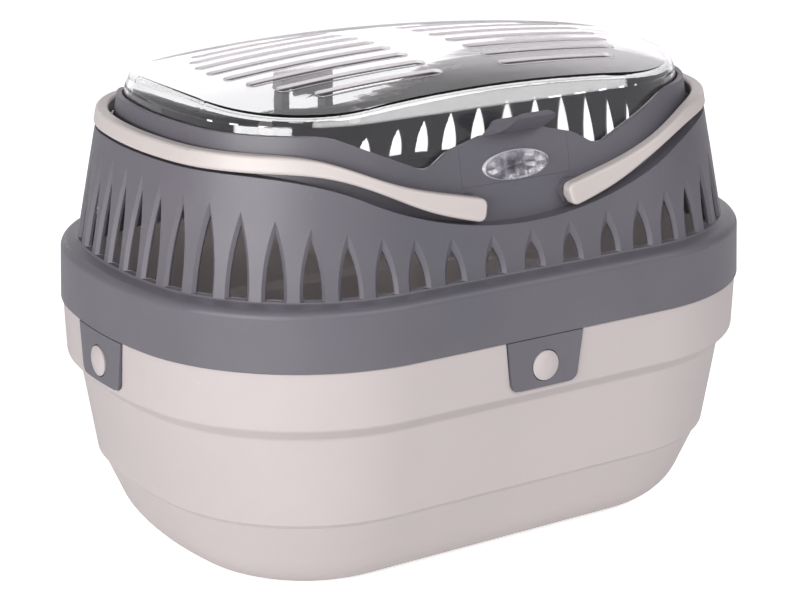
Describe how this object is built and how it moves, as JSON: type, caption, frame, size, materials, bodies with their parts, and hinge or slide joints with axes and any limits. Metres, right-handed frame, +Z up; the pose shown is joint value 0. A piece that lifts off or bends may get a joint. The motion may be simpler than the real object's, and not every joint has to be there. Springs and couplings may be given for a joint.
{
  "type": "small animal carrier",
  "caption": "Small animal carrier: stepped oval tub, slotted clip-on top shell, clear hinged lid and two folding bail handles.",
  "frame": {"origin": "on the floor under the middle of the carrier", "axes": "+X along the length towards the right end, -Y towards the front with the latch, +Z up"},
  "size_m": [0.3032, 0.2132, 0.2105],
  "materials": {
    "tub": "greige polypropylene, fine matte grain",
    "handle": "greige polypropylene, smooth satin",
    "shell": "dark grey polypropylene, satin grain",
    "lid": "clear moulded polystyrene, polished",
    "lens": "clear faceted plastic lens",
    "foil": "bright silver foil",
    "steel": "drawn steel pin"
  },
  "bodies": {
    "carrier": {"base_tub": "tub", "top_shell": "shell", "lid_hinge_pin": "steel", "front_stud": "tub", "right_stud": "tub", "rear_stud": "tub", "left_stud": "tub"},
    "lid": {"lid": "lid", "lid_knuckle": "shell"},
    "latch": {"latch_tongue": "shell", "badge_foil": "foil", "badge_lens": "lens"},
    "right_handle": {"right_handle": "handle"},
    "left_handle": {"left_handle": "handle"},
    "front_clip": {"front_clip": "shell"},
    "right_clip": {"right_clip": "shell"},
    "rear_clip": {"rear_clip": "shell"},
    "left_clip": {"left_clip": "shell"}
  },
  "joints": [
    {"name": "lid_hinge", "type": "hinge", "parent": "carrier", "child": "lid", "pos_m": [0, 0.087, 0.178], "axis": [1, 0, 0], "range_deg": [-100, 0]},
    {"name": "latch_flex", "type": "hinge", "parent": "carrier", "child": "latch", "pos_m": [0, -0.08325, 0.1657], "axis": [1, 0, 0], "range_deg": [0, 8], "stiffness_Nm_per_rad": 0.6},
    {"name": "right_handle_pivot", "type": "hinge", "parent": "carrier", "child": "right_handle", "pos_m": [0.0248, 0, 0.1585], "axis": [0, -1, 0], "range_deg": [0, 75]},
    {"name": "left_handle_pivot", "type": "hinge", "parent": "carrier", "child": "left_handle", "pos_m": [-0.0248, 0, 0.1585], "axis": [0, 1, 0], "range_deg": [0, 75]},
    {"name": "front_clip_hinge", "type": "hinge", "parent": "carrier", "child": "front_clip", "pos_m": [0, -0.1049, 0.1047], "axis": [-1, 0, 0], "range_deg": [0, 30], "stiffness_Nm_per_rad": 0.01},
    {"name": "rear_clip_hinge", "type": "hinge", "parent": "carrier", "child": "rear_clip", "pos_m": [0, 0.1049, 0.1047], "axis": [1, 0, 0], "range_deg": [0, 30], "stiffness_Nm_per_rad": 0.01},
    {"name": "right_clip_hinge", "type": "hinge", "parent": "carrier", "child": "right_clip", "pos_m": [0.1499, 0, 0.1047], "axis": [0, -1, 0], "range_deg": [0, 30], "stiffness_Nm_per_rad": 0.01},
    {"name": "left_clip_hinge", "type": "hinge", "parent": "carrier", "child": "left_clip", "pos_m": [-0.1499, 0, 0.1047], "axis": [0, 1, 0], "range_deg": [0, 30], "stiffness_Nm_per_rad": 0.01}
  ]
}
